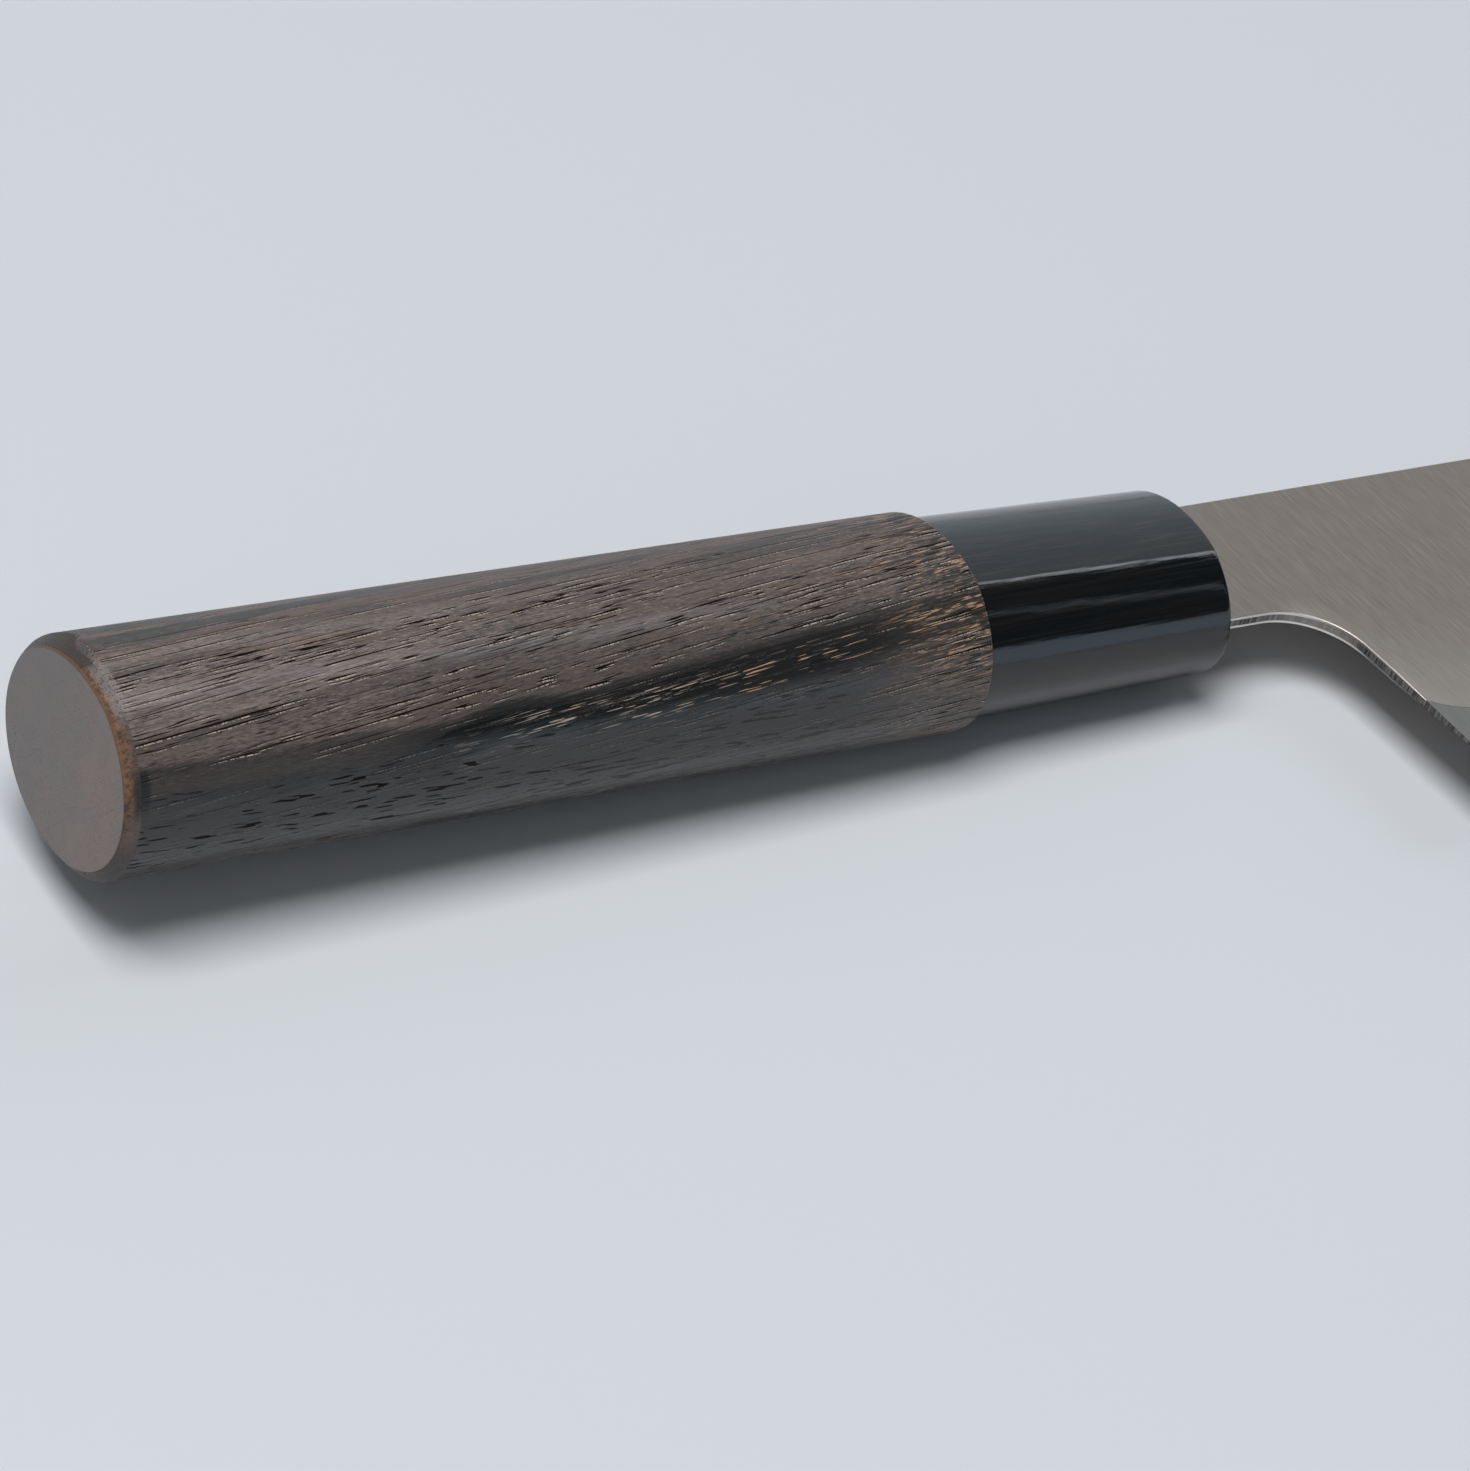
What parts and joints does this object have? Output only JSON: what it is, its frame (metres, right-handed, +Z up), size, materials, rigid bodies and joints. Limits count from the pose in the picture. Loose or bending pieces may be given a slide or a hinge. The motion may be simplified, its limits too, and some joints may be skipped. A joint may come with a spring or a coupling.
{
  "type": "santoku knife",
  "caption": "Santoku kitchen knife with a three-layer steel blade, a dark wooden oval wa handle and a gloss black ferrule, lying on its left side.",
  "frame": {"origin": "on the surface that the knife lies on, under the middle of its bounding box", "axes": "+X runs along the knife from the butt to the tip, +Y from the edge towards the spine, and +Z up, out of the right face of the blade"},
  "size_m": [0.309, 0.0476, 0.025],
  "materials": {
    "core_steel": "satin, hard steel core, bright along the edge bevel",
    "cladding_steel": "satin, brushed across the blade",
    "stained_wood": "satin, dark stained open-pored hardwood",
    "black_pakkawood": "gloss, black resin-impregnated wood laminate",
    "dowel_wood": "matte, bare wood",
    "resin": "satin, cured adhesive",
    "sealant": "satin, cured sealant"
  },
  "bodies": {
    "root": {"blade_core": "core_steel", "cladding_right": "cladding_steel", "cladding_left": "cladding_steel", "grip": "stained_wood", "ferrule": "black_pakkawood", "dowel": "dowel_wood", "tang_adhesive": "resin", "mouth_seal": "sealant"}
  },
  "joints": []
}
